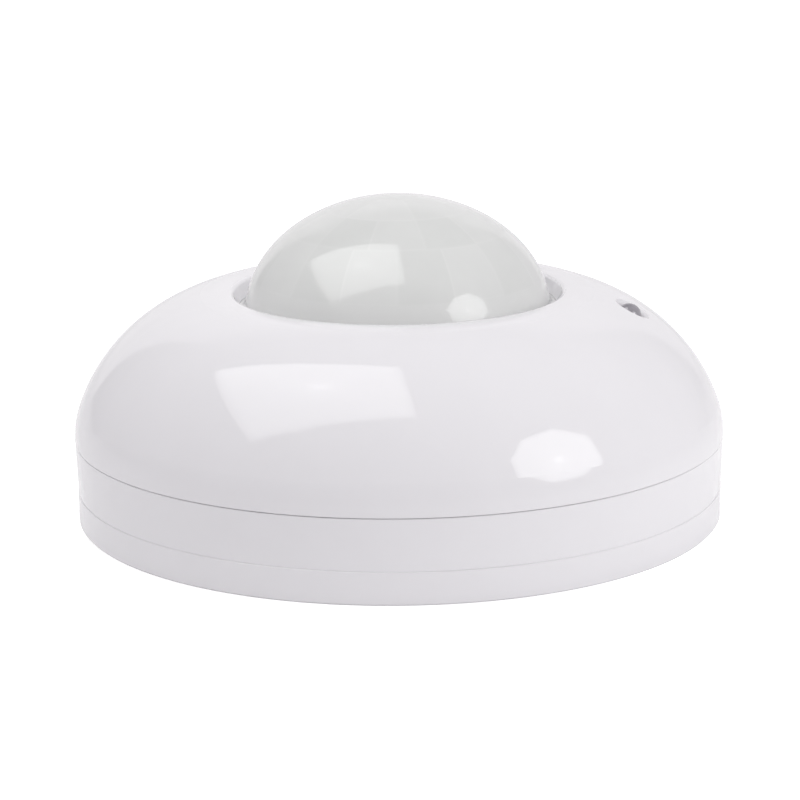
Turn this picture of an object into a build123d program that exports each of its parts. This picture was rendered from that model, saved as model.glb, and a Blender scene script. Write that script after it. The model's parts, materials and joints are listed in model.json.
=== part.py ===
from build123d import *
import math
import os

os.makedirs("parts", exist_ok=True)

# A round ceiling motion sensor. Millimetres. Origin: centre of the ceiling face of the
# mounting base. +Z points away from the ceiling, toward the lens. Azimuths are degrees
# from +X toward +Y. The setting knobs are at azimuth 90, the light guide is near azimuth 0.

# ---------------------------------------------------------------- driving dimensions
BODY_RADIUS = 58.0
BASE_RADIUS = 57.7
BASE_TOP = 5.73
HOUSING_BOTTOM = 5.75
SEAM_LOW = 14.66
SEAM_HIGH = 14.8
EQUATOR_HEIGHT = 15.2

SHOULDER_RADIUS = 14.2
SHOULDER_END = 20.3
DOME_RADIUS = 31.7
DOME_END = 76.0
BROW_RADIUS = 14.0
BROW_END = 97.0
LIP_RADIUS = 1.0
LIP_END = 155.0

COVER_WALL = 2.2
HOUSING_WALL = 2.4
FIT_GAP = 0.1
SCREW_GAP = 0.02
SCREW_CLEARANCE = 0.2
PILOT_EXTRA = 0.4
NUT_GAP = 0.08

# How far a cutting shape runs past the face it cuts, and a rib into the wall it grows from.
PAST = 1.0
ROOT = 0.5

LENS_RADIUS = 27.24
LENS_CENTRE_HEIGHT = 35.9
LENS_RISE = 21.04
LENS_WALL = 0.9
LENS_SHELF_HEIGHT = 37.5
LENS_FOOT_FILLET = 1.0
LENS_SHELF_RADIUS = 28.2
LENS_GAP = 0.04
LENS_FLANGE_RADIUS = 32.5
LENS_FLANGE_LOW = 34.9
LENS_FLANGE_HIGH = 36.1

BASE_FLOOR = 1.8
BASE_RING_INNER = 54.9
HOUSING_FLOOR_LOW = 7.0
HOUSING_FLOOR_HIGH = 8.4

CABLE_BORE = 4.0
GROMMET_WAIST = 8.0
GROMMET_LIP = 10.0
GROMMET_RECESS = 0.8
GROMMET_TOP = 5.0

FIXING_SPACING = 66.0
FIXING_SLOT_WIDTH = 4.5
FIXING_SLOT_LENGTH = 10.0

BAYONET_ANGLES = (0, 120, 240)
LEDGE_SPAN = 24.0
HOOK_SPAN = 16.0
TWIST_ANGLE = 25.0
STOP_GAP_ANGLE = 0.6
STOP_SPAN = 1.6

BOARD_LOW = 14.4
BOARD_HIGH = 16.0
BOARD_RADIUS = 49.5
PIN_TIP = 13.2
PIN_HOLE_GAP = 0.05
FINE_LEAD_RADIUS = 0.22
THIN_LEAD_RADIUS = 0.25
CAP_LEAD_RADIUS = 0.3
LEAD_RADIUS = 0.35
STOUT_PIN_RADIUS = 0.5

HOUSING_SCREW_CIRCLE = 49.5
HOUSING_SCREW_ANGLES = (30, 150, 270)
BOARD_SCREW_CIRCLE = 42.0
BOARD_SCREW_ANGLES = (20, 160, 270)
RETAINER_SCREW_CIRCLE = 37.0
RETAINER_SCREW_ANGLES = (90, 210, 330)

KNOB_HEIGHT = 11.2
KNOB_RADIUS = 2.6
KNOB_ANGLES = {"time": 78.0, "lux": 102.0}

TERMINAL_PITCH = 8.0
TERMINAL_NAMES = ("live", "neutral", "load")
TERMINAL_FRONT = 24.4
TERMINAL_BACK = 35.2
TERMINAL_LOW = 3.6
TERMINAL_CENTRE = 28.9
TERMINAL_HALF_LENGTH = 12.4

# The light guide stands on the dome's slope, square to the surface.
GUIDE_RADIUS_ON_COVER = 41.76
GUIDE_AZIMUTH = -7.0

pin_holes = []


# ---------------------------------------------------------------- small helpers
def polar(radius, degrees):
    """The x and y of a point at a radius and an azimuth."""
    angle = math.radians(degrees)
    return radius * math.cos(angle), radius * math.sin(angle)


def rod(radius, low, high, x=0.0, y=0.0):
    """A vertical cylinder between two heights."""
    return Pos(x, y, (low + high) / 2) * Cylinder(radius, high - low)


def ring(outer, inner, low, high, x=0.0, y=0.0):
    """A vertical tube between two heights."""
    return rod(outer, low, high, x, y) - rod(inner, low - PAST, high + PAST, x, y)


def block(x_low, x_high, y_low, y_high, z_low, z_high):
    """A box between two corners."""
    centre = Pos((x_low + x_high) / 2, (y_low + y_high) / 2, (z_low + z_high) / 2)
    return centre * Box(x_high - x_low, y_high - y_low, z_high - z_low)


def turned(edges):
    """A solid of revolution about Z from an outline of edges in (radius, height)."""
    return revolve(Plane.XZ * make_face(edges), Axis.Z)


def sector(outer, inner, low, high, middle, span):
    """A piece of a tube, centred on an azimuth."""
    outline = Polyline((inner, low), (outer, low), (outer, high), (inner, high), close=True)
    return Rot(Z=middle - span / 2) * revolve(Plane.XZ * make_face(outline), Axis.Z, span)


def pin(x, y, low, high, radius):
    """An upright lead that goes through the circuit board, which gets a hole for it."""
    pin_holes.append((x, y, radius))
    return rod(radius, low, high, x, y)


def group(solids):
    """Several separate solids of one kind as one shape."""
    return Compound(children=[solid for shape in solids for solid in shape.solids()])


def save(name, shape):
    """Write one node. A shape with one solid is written as that solid."""
    solids = shape.solids()
    shape = solids[0] if len(solids) == 1 else Compound(children=list(solids))
    shape.label = name
    export_step(shape, f"parts/{name}.step")


# ---------------------------------------------------------------- outer form
def cover_arcs():
    """The cover's tangent arcs as (centre, radius, start angle, end angle)."""
    steps = (
        (SHOULDER_RADIUS, 0.0, SHOULDER_END),
        (DOME_RADIUS, SHOULDER_END, DOME_END),
        (BROW_RADIUS, DOME_END, BROW_END),
        (LIP_RADIUS, BROW_END, LIP_END),
    )
    centre = Vector(BODY_RADIUS - SHOULDER_RADIUS, EQUATOR_HEIGHT)
    last_radius = SHOULDER_RADIUS
    arcs = []
    for radius, start, end in steps:
        shift = last_radius - radius
        centre = centre + Vector(shift, 0).rotate(Axis.Z, start)
        arcs.append((centre, radius, start, end))
        last_radius = radius
    return arcs


def dome_solid(inset):
    """The full dome without its lens opening, drawn in from the outer surface by inset."""
    arcs = cover_arcs()[:3]
    edges = []
    for centre, radius, start, end in arcs:
        end = min(end, 90.0)
        edges.append(CenterArc(centre, radius - inset, start, end - start))
    foot = edges[0] @ 0
    top = edges[-1] @ 1
    edges.append(Line(top, (0, top.Y)))
    edges.append(Line((0, top.Y), (0, EQUATOR_HEIGHT)))
    edges.append(Line((0, EQUATOR_HEIGHT), foot))
    return turned(edges)


def surface_frame():
    """A plane on the dome at the light guide, its Z along the outward normal."""
    centre, radius, _, _ = cover_arcs()[1]
    angle = math.acos((GUIDE_RADIUS_ON_COVER - centre.X) / radius)
    height = centre.Y + radius * math.sin(angle)
    x, y = polar(GUIDE_RADIUS_ON_COVER, GUIDE_AZIMUTH)
    out_x, out_y = polar(math.cos(angle), GUIDE_AZIMUTH)
    return Plane(origin=(x, y, height), z_dir=(out_x, out_y, math.sin(angle)))


# ---------------------------------------------------------------- front cover
COVER_SKIRT_WALL = 2.0
COVER_SKIRT_TOP = 37.7
BOSS_TOP = EQUATOR_HEIGHT + SHOULDER_RADIUS + DOME_RADIUS
GUIDE_DISH_RADIUS = 4.2
GUIDE_DISH_FLARE = 2.0
GUIDE_BOSS_RADIUS = 4.8
GUIDE_BOSS_DEPTH = 4.4
GUIDE_DOME_RADIUS = 2.3
GUIDE_DOME_PROUD = 0.65
GUIDE_STEM_DEPTH = 6.0
GUIDE_FLANGE_RADIUS = 3.1
GUIDE_FLANGE_DEPTH = 5.2

HOUSING_BOSS_RADIUS = 3.5
HOUSING_BOSS_LOW = HOUSING_FLOOR_HIGH
HOUSING_SCREW_RADIUS = 1.4
HOUSING_SCREW_TIP = 20.0
RETAINER_BOSS_RADIUS = 3.0
RETAINER_SCREW_RADIUS = 1.1
RETAINER_SCREW_TIP = 37.2


def cover_shell():
    """The moulded shell: dome, rolled lip, sloping rim and the skirt that holds the lens down."""
    arcs = cover_arcs()
    opening = LENS_SHELF_RADIUS + LENS_GAP
    skirt_outer = opening + COVER_SKIRT_WALL
    skirt_low = LENS_FLANGE_HIGH + FIT_GAP
    outside = [CenterArc(c, r, start, end - start) for c, r, start, end in arcs]
    brow_centre = arcs[2][0]
    brow_inner = BROW_RADIUS - COVER_WALL
    skirt_angle = math.degrees(math.acos((skirt_outer - brow_centre.X) / brow_inner))
    inner_ends = (SHOULDER_END, DOME_END, skirt_angle)
    inside = []
    for (centre, radius, start, _), end in zip(arcs[:3], inner_ends):
        inside.append(CenterArc(centre, radius - COVER_WALL, start, end - start))
    lip_end = outside[-1] @ 1
    skirt_top = inside[-1] @ 1
    inner_foot = inside[0] @ 0
    outer_foot = outside[0] @ 0
    edges = outside + [
        Line(lip_end, (opening, COVER_SKIRT_TOP)),
        Line((opening, COVER_SKIRT_TOP), (opening, skirt_low)),
        Line((opening, skirt_low), (skirt_outer, skirt_low)),
        Line((skirt_outer, skirt_low), skirt_top),
    ]
    edges += inside
    edges += [
        Line(inner_foot, (inner_foot.X, SEAM_HIGH)),
        Line((inner_foot.X, SEAM_HIGH), (outer_foot.X, SEAM_HIGH)),
        Line((outer_foot.X, SEAM_HIGH), outer_foot),
    ]
    return turned(edges)


def guide_dish():
    """The cutting shape of the dish round the light guide: a bowl with a flared rim."""
    hole = GUIDE_DOME_RADIUS + FIT_GAP
    flare_angle = math.degrees(math.acos((hole - GUIDE_DISH_RADIUS) / GUIDE_DISH_FLARE))
    flare_centre = (GUIDE_DISH_RADIUS, -GUIDE_DISH_FLARE)
    flare = CenterArc(flare_centre, GUIDE_DISH_FLARE, 90, flare_angle - 90)
    floor = flare @ 1
    sides = Polyline(
        flare @ 0,
        (GUIDE_DISH_RADIUS, PAST),
        (0, PAST),
        (0, floor.Y),
        (floor.X, floor.Y),
    )
    return turned([flare] + list(sides.edges()))


def front_cover():
    cover = cover_shell()
    inner_dome = dome_solid(COVER_WALL / 2)
    for angle in HOUSING_SCREW_ANGLES:
        x, y = polar(HOUSING_SCREW_CIRCLE, angle)
        upper = rod(HOUSING_BOSS_RADIUS, EQUATOR_HEIGHT, BOSS_TOP, x, y) & inner_dome
        cover += upper + rod(HOUSING_BOSS_RADIUS, HOUSING_BOSS_LOW, EQUATOR_HEIGHT, x, y)
        pilot = HOUSING_SCREW_RADIUS + SCREW_GAP
        cover -= rod(pilot, HOUSING_BOSS_LOW - PAST, HOUSING_SCREW_TIP + PILOT_EXTRA, x, y)
    for angle in RETAINER_SCREW_ANGLES:
        x, y = polar(RETAINER_SCREW_CIRCLE, angle)
        cover += rod(RETAINER_BOSS_RADIUS, LENS_FLANGE_LOW, BOSS_TOP, x, y) & inner_dome
        pilot = RETAINER_SCREW_RADIUS + SCREW_GAP
        cover -= rod(pilot, LENS_FLANGE_LOW - PAST, RETAINER_SCREW_TIP + PILOT_EXTRA, x, y)
    frame = surface_frame()
    boss_length = GUIDE_BOSS_DEPTH - COVER_WALL / 2
    boss_middle = -(GUIDE_BOSS_DEPTH + COVER_WALL / 2) / 2
    cover += frame * Pos(0, 0, boss_middle) * Cylinder(GUIDE_BOSS_RADIUS, boss_length)
    cover -= frame * guide_dish()
    cover -= frame * Cylinder(GUIDE_DOME_RADIUS + FIT_GAP, 4 * GUIDE_BOSS_DEPTH)
    return cover


def light_guide():
    """A smoky plug: a round head, a stem through the cover and a flange under it."""
    head_centre = GUIDE_DOME_PROUD - GUIDE_DOME_RADIUS
    head = Pos(0, 0, head_centre) * Sphere(GUIDE_DOME_RADIUS)
    stem_length = GUIDE_STEM_DEPTH + head_centre
    stem = Pos(0, 0, head_centre - stem_length / 2) * Cylinder(GUIDE_DOME_RADIUS, stem_length)
    flange_thickness = GUIDE_FLANGE_DEPTH - GUIDE_BOSS_DEPTH
    flange_middle = -(GUIDE_FLANGE_DEPTH + GUIDE_BOSS_DEPTH) / 2
    flange = Pos(0, 0, flange_middle) * Cylinder(GUIDE_FLANGE_RADIUS, flange_thickness)
    return surface_frame() * (head + stem + flange)


# ---------------------------------------------------------------- lens and its retainer
CROWN_SPANS = 6
RETAINER_LOW = 33.4
RETAINER_INNER = 25.8
RETAINER_OUTER = 33.5
RETAINER_EAR_RADIUS = 3.6
RETAINER_HEAD_RADIUS = 2.3
RETAINER_HEAD_HEIGHT = 1.6


def lens_crown(radius, rise, start_height):
    """A quarter-ellipse about the lens centre, from a height up to the apex."""
    start = math.asin((start_height - LENS_CENTRE_HEIGHT) / rise)
    points = []
    for step in range(CROWN_SPANS + 1):
        angle = start + (math.pi / 2 - start) * step / CROWN_SPANS
        points.append((radius * math.cos(angle), LENS_CENTRE_HEIGHT + rise * math.sin(angle)))
    slope = (-radius * math.sin(start), rise * math.cos(start))
    return Spline(*points, tangents=[slope, (-1, 0)])


def lens_outside():
    """The lens filled in: half-ellipse crown, filleted shelf, and the flange under the cover."""
    crown = lens_crown(LENS_RADIUS, LENS_RISE, LENS_SHELF_HEIGHT + LENS_FOOT_FILLET)
    foot = crown @ 0
    shelf_start = (foot.X + LENS_FOOT_FILLET, LENS_SHELF_HEIGHT)
    sides = Polyline(
        shelf_start,
        (LENS_SHELF_RADIUS, LENS_SHELF_HEIGHT),
        (LENS_SHELF_RADIUS, LENS_FLANGE_HIGH),
        (LENS_FLANGE_RADIUS, LENS_FLANGE_HIGH),
        (LENS_FLANGE_RADIUS, LENS_FLANGE_LOW),
        (0, LENS_FLANGE_LOW),
        crown @ 1,
    )
    fillet_arc = TangentArc(foot, shelf_start, tangent=(crown % 0) * -1)
    return turned([crown, fillet_arc] + list(sides.edges()))


def lens_inside():
    """The hollow of the lens: a smaller half-ellipse on a straight foot."""
    low = LENS_FLANGE_LOW - PAST
    crown = lens_crown(LENS_RADIUS - LENS_WALL, LENS_RISE - LENS_WALL, LENS_CENTRE_HEIGHT)
    foot = crown @ 0
    sides = Polyline(crown @ 1, (0, low), (foot.X, low), foot)
    return turned([crown] + list(sides.edges()))


def lens_dome():
    return lens_outside() - lens_inside()


def lens_retainer():
    """The ring that presses the lens flange up against the cover's skirt."""
    retainer = ring(RETAINER_OUTER, RETAINER_INNER, RETAINER_LOW, LENS_FLANGE_LOW)
    for angle in RETAINER_SCREW_ANGLES:
        x, y = polar(RETAINER_SCREW_CIRCLE, angle)
        retainer += rod(RETAINER_EAR_RADIUS, RETAINER_LOW, LENS_FLANGE_LOW, x, y)
        hole = RETAINER_SCREW_RADIUS + FIT_GAP
        retainer -= rod(hole, RETAINER_LOW - PAST, LENS_FLANGE_LOW + PAST, x, y)
    return retainer - rod(RETAINER_INNER, RETAINER_LOW - PAST, LENS_FLANGE_LOW + PAST)


# ---------------------------------------------------------------- screws
CROSS_LENGTH = 1.4
CROSS_WIDTH = 0.7
CROSS_DEPTH = 0.8
HOUSING_HEAD_RADIUS = 2.5
HOUSING_HEAD_HEIGHT = 1.8
BOARD_SCREW_RADIUS = 1.25
BOARD_SCREW_TIP = 9.8
BOARD_HEAD_RADIUS = 2.4
BOARD_HEAD_HEIGHT = 1.7


def screw(x, y, head_face, head_height, head_radius, shank_radius, tip):
    """A cross-head screw. Its head face and its tip are heights, either way up."""
    way = 1 if tip > head_face else -1
    head_end = head_face + way * head_height
    body = rod(head_radius, min(head_face, head_end), max(head_face, head_end), x, y)
    body += rod(shank_radius, min(head_end, tip), max(head_end, tip), x, y)
    for turn in (0, 90):
        cut = Box(CROSS_LENGTH * head_radius, CROSS_WIDTH, 2 * CROSS_DEPTH)
        body -= Pos(x, y, head_face) * Rot(Z=turn) * cut
    return body


def screws_on_circle(circle, angles, *sizes):
    return group([screw(*polar(circle, angle), *sizes) for angle in angles])


def retainer_screws():
    head_face = RETAINER_LOW - RETAINER_HEAD_HEIGHT
    return screws_on_circle(RETAINER_SCREW_CIRCLE, RETAINER_SCREW_ANGLES, head_face,
                            RETAINER_HEAD_HEIGHT, RETAINER_HEAD_RADIUS,
                            RETAINER_SCREW_RADIUS, RETAINER_SCREW_TIP)


def housing_screws():
    head_face = HOUSING_FLOOR_LOW - HOUSING_HEAD_HEIGHT
    return screws_on_circle(HOUSING_SCREW_CIRCLE, HOUSING_SCREW_ANGLES, head_face,
                            HOUSING_HEAD_HEIGHT, HOUSING_HEAD_RADIUS,
                            HOUSING_SCREW_RADIUS, HOUSING_SCREW_TIP)


def board_screws():
    head_face = BOARD_HIGH + BOARD_HEAD_HEIGHT
    return screws_on_circle(BOARD_SCREW_CIRCLE, BOARD_SCREW_ANGLES, head_face,
                            BOARD_HEAD_HEIGHT, BOARD_HEAD_RADIUS,
                            BOARD_SCREW_RADIUS, BOARD_SCREW_TIP)


# ---------------------------------------------------------------- rear housing
LAP_OUTER = 55.5
LAP_INNER = 54.4
LAP_TOP = 16.8
LAP_ROOT = 13.7
LAP_SLOPE_FOOT = 12.5
HOUSING_FOOT_RADIUS = BASE_RADIUS - 0.12
HOUSING_FOOT_CHAMFER = 0.04
HOUSING_RIM_CHAMFER = 0.12
HOUSING_RIM_RADIUS = BODY_RADIUS - 0.05
WELL_HALF_WIDTH = 14.0
WELL_FRONT = -6.0
WELL_BACK = 36.4
WELL_WALL = 1.2
WELL_ROOF_LOW = 12.4
WELL_ROOF_HIGH = 13.1
TERMINAL_WINDOW_GAP = 0.4
POST_RADIUS = 3.0
HOOK_STEM_INNER = 50.6
HOOK_STEM_OUTER = 52.4
HOOK_FOOT_OUTER = BASE_RING_INNER - FIT_GAP
HOOK_LOW = 2.2
HOOK_HIGH = 3.4


def radial_rod(radius, near, far, angle):
    """A cylinder along a radius of the body, at the height of the knobs."""
    lying = Pos((near + far) / 2, 0, KNOB_HEIGHT) * Rot(Y=90) * Cylinder(radius, far - near)
    return Rot(Z=angle) * lying


def housing_tray():
    """Floor, outer wall and the lap lip that the cover fits over."""
    wall_inner = BODY_RADIUS - HOUSING_WALL
    outline = Polyline(
        (0, HOUSING_FLOOR_LOW),
        (BASE_RING_INNER + FIT_GAP, HOUSING_FLOOR_LOW),
        (BASE_RING_INNER + FIT_GAP, HOUSING_BOTTOM),
        (HOUSING_FOOT_RADIUS, HOUSING_BOTTOM),
        (HOUSING_FOOT_RADIUS + HOUSING_FOOT_CHAMFER, HOUSING_BOTTOM + HOUSING_FOOT_CHAMFER),
        (HOUSING_RIM_RADIUS, SEAM_LOW - HOUSING_RIM_CHAMFER),
        (HOUSING_RIM_RADIUS - HOUSING_RIM_CHAMFER, SEAM_LOW),
        (LAP_OUTER, SEAM_LOW),
        (LAP_OUTER, LAP_TOP),
        (LAP_INNER, LAP_TOP),
        (LAP_INNER, LAP_ROOT),
        (wall_inner, LAP_SLOPE_FOOT),
        (wall_inner, HOUSING_FLOOR_HIGH),
        (0, HOUSING_FLOOR_HIGH),
        close=True,
    )
    return turned(outline)


def add_wiring_well(housing):
    """The roofed well over the cable entry. Its window lets the terminal block through."""
    well_outer = WELL_HALF_WIDTH + WELL_WALL
    housing += block(-well_outer, well_outer, WELL_FRONT - WELL_WALL, WELL_BACK + WELL_WALL,
                     HOUSING_FLOOR_HIGH, WELL_ROOF_HIGH)
    housing -= block(-WELL_HALF_WIDTH, WELL_HALF_WIDTH, WELL_FRONT, WELL_BACK,
                     HOUSING_FLOOR_LOW - PAST, WELL_ROOF_LOW)
    window_half = TERMINAL_HALF_LENGTH + TERMINAL_WINDOW_GAP
    housing -= block(-window_half, window_half, TERMINAL_FRONT - TERMINAL_WINDOW_GAP,
                     TERMINAL_BACK + TERMINAL_WINDOW_GAP, HOUSING_FLOOR_LOW, BOARD_LOW)
    return housing


def rear_housing():
    housing = housing_tray()
    housing = add_wiring_well(housing)
    for angle in BOARD_SCREW_ANGLES:
        x, y = polar(BOARD_SCREW_CIRCLE, angle)
        housing += rod(POST_RADIUS, HOUSING_FLOOR_HIGH, BOARD_LOW, x, y)
        pilot = BOARD_SCREW_RADIUS + SCREW_GAP
        housing -= rod(pilot, BOARD_SCREW_TIP - PILOT_EXTRA, BOARD_LOW + PAST, x, y)
    for angle in HOUSING_SCREW_ANGLES:
        x, y = polar(HOUSING_SCREW_CIRCLE, angle)
        hole = HOUSING_SCREW_RADIUS + SCREW_CLEARANCE
        housing -= rod(hole, HOUSING_FLOOR_LOW - PAST, HOUSING_FLOOR_HIGH + PAST, x, y)
    for angle in BAYONET_ANGLES:
        stem_top = HOUSING_FLOOR_LOW + ROOT
        housing += sector(HOOK_STEM_OUTER, HOOK_STEM_INNER, HOOK_LOW, stem_top, angle, HOOK_SPAN)
        housing += sector(HOOK_FOOT_OUTER, HOOK_STEM_INNER, HOOK_LOW, HOOK_HIGH, angle, HOOK_SPAN)
    for angle in KNOB_ANGLES.values():
        housing -= radial_rod(KNOB_RADIUS + FIT_GAP, LAP_INNER - PAST, BODY_RADIUS + PAST, angle)
    return housing


# ---------------------------------------------------------------- mounting base
EDGE_CHAMFER = 0.3
GROOVE_CHAMFER = 0.15
LEDGE_INNER = 52.9
LEDGE_LOW = 3.6
LEDGE_HIGH = 5.2
STOP_INNER = 53.2
STOP_TOP = 3.8
SLOT_PAD_MARGIN = 2.0
SLOT_PAD_TOP = 2.4
KNOCKOUT_HALF_WIDTH = 5.0
KNOCKOUT_TOP = 4.4
KNOCKOUT_WEB = 0.6


def base_tray():
    outline = Polyline(
        (0, 0),
        (BASE_RADIUS - EDGE_CHAMFER, 0),
        (BASE_RADIUS, EDGE_CHAMFER),
        (BASE_RADIUS, BASE_TOP - GROOVE_CHAMFER),
        (BASE_RADIUS - GROOVE_CHAMFER, BASE_TOP),
        (BASE_RING_INNER, BASE_TOP),
        (BASE_RING_INNER, BASE_FLOOR),
        (0, BASE_FLOOR),
        close=True,
    )
    return turned(outline)


def flat_slot(x, length, width, low, high):
    """An upright bar with round ends, its long way along X."""
    return Pos(x, 0, low) * extrude(SlotOverall(length, width), high - low)


def mounting_base():
    base = base_tray()
    ring_root = BASE_RING_INNER + ROOT
    release_edge = HOOK_SPAN / 2 + TWIST_ANGLE + STOP_GAP_ANGLE + STOP_SPAN / 2
    lock_edge = HOOK_SPAN / 2 + STOP_GAP_ANGLE + STOP_SPAN / 2
    for angle in BAYONET_ANGLES:
        base += sector(ring_root, LEDGE_INNER, LEDGE_LOW, LEDGE_HIGH, angle, LEDGE_SPAN)
        for stop in (angle - lock_edge, angle + release_edge):
            base += sector(ring_root, STOP_INNER, BASE_FLOOR - ROOT, STOP_TOP, stop, STOP_SPAN)
    for x in (-FIXING_SPACING / 2, FIXING_SPACING / 2):
        pad_length = FIXING_SLOT_LENGTH + 2 * SLOT_PAD_MARGIN
        pad_width = FIXING_SLOT_WIDTH + 2 * SLOT_PAD_MARGIN
        base += flat_slot(x, pad_length, pad_width, BASE_FLOOR - ROOT, SLOT_PAD_TOP)
        base -= flat_slot(x, FIXING_SLOT_LENGTH, FIXING_SLOT_WIDTH, -PAST, SLOT_PAD_TOP + PAST)
    base -= rod(GROMMET_WAIST, -PAST, BASE_FLOOR + PAST)
    base -= rod(GROMMET_LIP, -PAST, GROMMET_RECESS)
    base -= block(-KNOCKOUT_HALF_WIDTH, KNOCKOUT_HALF_WIDTH, BASE_RING_INNER - PAST,
                  BASE_RADIUS - KNOCKOUT_WEB, BASE_FLOOR, KNOCKOUT_TOP)
    return base


GROMMET_GAP = 0.05
GROMMET_CLIP_RADIUS = 9.6
GROMMET_CLIP_TAPER = 0.4
GROMMET_CLIP_TOP = 2.6
GROMMET_CONE_FOOT = 6.0
GROMMET_CONE_LOW = 3.2
GROMMET_CONE_TIP = 5.2


def cable_grommet():
    """A rubber grommet clipped into the cable hole, with a soft cone around the cable."""
    gap = GROMMET_GAP
    outline = Polyline(
        (CABLE_BORE, gap),
        (GROMMET_LIP - 2 * gap, gap),
        (GROMMET_LIP - 2 * gap, GROMMET_RECESS - gap),
        (GROMMET_WAIST - gap, GROMMET_RECESS - gap),
        (GROMMET_WAIST - gap, BASE_FLOOR + gap),
        (GROMMET_CLIP_RADIUS, BASE_FLOOR + gap),
        (GROMMET_CLIP_RADIUS - GROMMET_CLIP_TAPER, GROMMET_CLIP_TOP),
        (GROMMET_CONE_FOOT, GROMMET_CONE_LOW),
        (GROMMET_CONE_TIP, GROMMET_TOP),
        (CABLE_BORE, GROMMET_TOP),
        close=True,
    )
    return turned(outline)


# ---------------------------------------------------------------- passive infrared sensor
PIR_SEAT = 26.0
PIR_CAN_TOP = 30.4
PIR_CAN_RADIUS = 4.1
PIR_FLANGE_RADIUS = 4.6
PIR_FLANGE_HEIGHT = 0.5
PIR_WINDOW_LENGTH = 4.0
PIR_WINDOW_WIDTH = 3.0
PIR_WINDOW_DEPTH = 0.4
PIR_PIN_CIRCLE = 2.54
PIR_PIN_ANGLES = (0, 90, 180)
HOLDER_OUTER = 6.0
HOLDER_INNER = 4.0
HOLDER_FOOT_RADIUS = 8.0
HOLDER_FOOT_TOP = 17.2


def pir_holder():
    holder = ring(HOLDER_OUTER, HOLDER_INNER, BOARD_HIGH, PIR_SEAT)
    holder += ring(HOLDER_FOOT_RADIUS, HOLDER_INNER, BOARD_HIGH, HOLDER_FOOT_TOP)
    return holder


def pir_sensor_can():
    can = rod(PIR_FLANGE_RADIUS, PIR_SEAT, PIR_SEAT + PIR_FLANGE_HEIGHT)
    can += rod(PIR_CAN_RADIUS, PIR_SEAT, PIR_CAN_TOP)
    return can - pir_window()


def pir_window():
    half_length = PIR_WINDOW_LENGTH / 2
    half_width = PIR_WINDOW_WIDTH / 2
    return block(-half_length, half_length, -half_width, half_width,
                 PIR_CAN_TOP - PIR_WINDOW_DEPTH, PIR_CAN_TOP)


def pir_pins():
    spots = [polar(PIR_PIN_CIRCLE, angle) for angle in PIR_PIN_ANGLES]
    return group([pin(x, y, PIN_TIP, PIR_SEAT, FINE_LEAD_RADIUS) for x, y in spots])


# ---------------------------------------------------------------- ambient light sensor
LIGHT_SENSOR_CIRCLE = 38.3
LIGHT_SENSOR_LOW = 28.8
LIGHT_SENSOR_HEIGHT = 2.0
LIGHT_SENSOR_RADIUS = 2.55
LIGHT_LEAD_OFFSET = 1.27
SLEEVE_OUTER = 3.0
SLEEVE_INNER = 2.0
LIGHT_SPOT = polar(LIGHT_SENSOR_CIRCLE, GUIDE_AZIMUTH)


def light_sensor():
    x, y = LIGHT_SPOT
    return rod(LIGHT_SENSOR_RADIUS, LIGHT_SENSOR_LOW, LIGHT_SENSOR_LOW + LIGHT_SENSOR_HEIGHT, x, y)


def light_sensor_sleeve():
    x, y = LIGHT_SPOT
    return ring(SLEEVE_OUTER, SLEEVE_INNER, BOARD_HIGH, LIGHT_SENSOR_LOW, x, y)


def light_sensor_leads():
    x, y = LIGHT_SPOT
    spots = (y - LIGHT_LEAD_OFFSET, y + LIGHT_LEAD_OFFSET)
    return group([pin(x, spot, PIN_TIP, LIGHT_SENSOR_LOW, THIN_LEAD_RADIUS) for spot in spots])


# ---------------------------------------------------------------- power parts on the board
RELAY_CENTRE = (-26.0, 12.0)
RELAY_SIZE = (19.0, 15.4, 15.3)
RELAY_CORNER = 0.8
RELAY_PIN_SPOTS = ((-7.0, 0.0), (-5.0, -6.0), (-5.0, 6.0), (7.0, -6.0), (7.0, 6.0))
FILM_CENTRE = (-26.0, -8.0)
FILM_SIZE = (18.0, 8.0, 13.5)
FILM_CORNER = 0.6
FILM_LOW = 16.3
FILM_PIN_OFFSET = 7.5
MAIN_CAP = (-20.0, -26.0, 5.0, 16.0, 2.5)
SMALL_CAPS = ((-6.0, -32.0, 3.15, 11.0, 1.25), (3.0, -32.0, 2.5, 11.0, 1.0))
CAP_STAND_OFF = 0.2
CAP_GROOVE_DEPTH = 0.35
CAP_GROOVE_LOW = 1.2
CAP_GROOVE_HIGH = 2.0
VARISTOR_CENTRE = (-24.0, 28.0, 23.0)
VARISTOR_RADIUS = 5.5
VARISTOR_THICKNESS = 4.2
VARISTOR_EDGE = 1.2
VARISTOR_PIN_OFFSET = 3.75
FUSE = (11.0, -41.0, 18.4, 5.5, 2.1)
FUSE_EDGE = 0.8
FUSE_LEAD_REACH = 1.5
DIODE_X = (13.0, 18.0, 23.0, 28.0)
DIODE_Y = -29.0
DIODE_HEIGHT = 17.6
DIODE_HALF_LENGTH = 2.6
DIODE_RADIUS = 1.35
DIODE_LEAD_REACH = 1.9


def lying_rod(radius, centre, half_length, turn):
    """A cylinder lying along X, turned about Z."""
    return Pos(*centre) * Rot(Z=turn) * Rot(Y=90) * Cylinder(radius, 2 * half_length)


def relay_case():
    x, y = RELAY_CENTRE
    length, width, height = RELAY_SIZE
    case = block(x - length / 2, x + length / 2, y - width / 2, y + width / 2,
                 BOARD_HIGH, BOARD_HIGH + height)
    return fillet(case.edges().filter_by(Axis.Z), RELAY_CORNER)


def relay_pins():
    x, y = RELAY_CENTRE
    spots = [(x + dx, y + dy) for dx, dy in RELAY_PIN_SPOTS]
    return group([pin(*spot, PIN_TIP, BOARD_HIGH, STOUT_PIN_RADIUS) for spot in spots])


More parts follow.
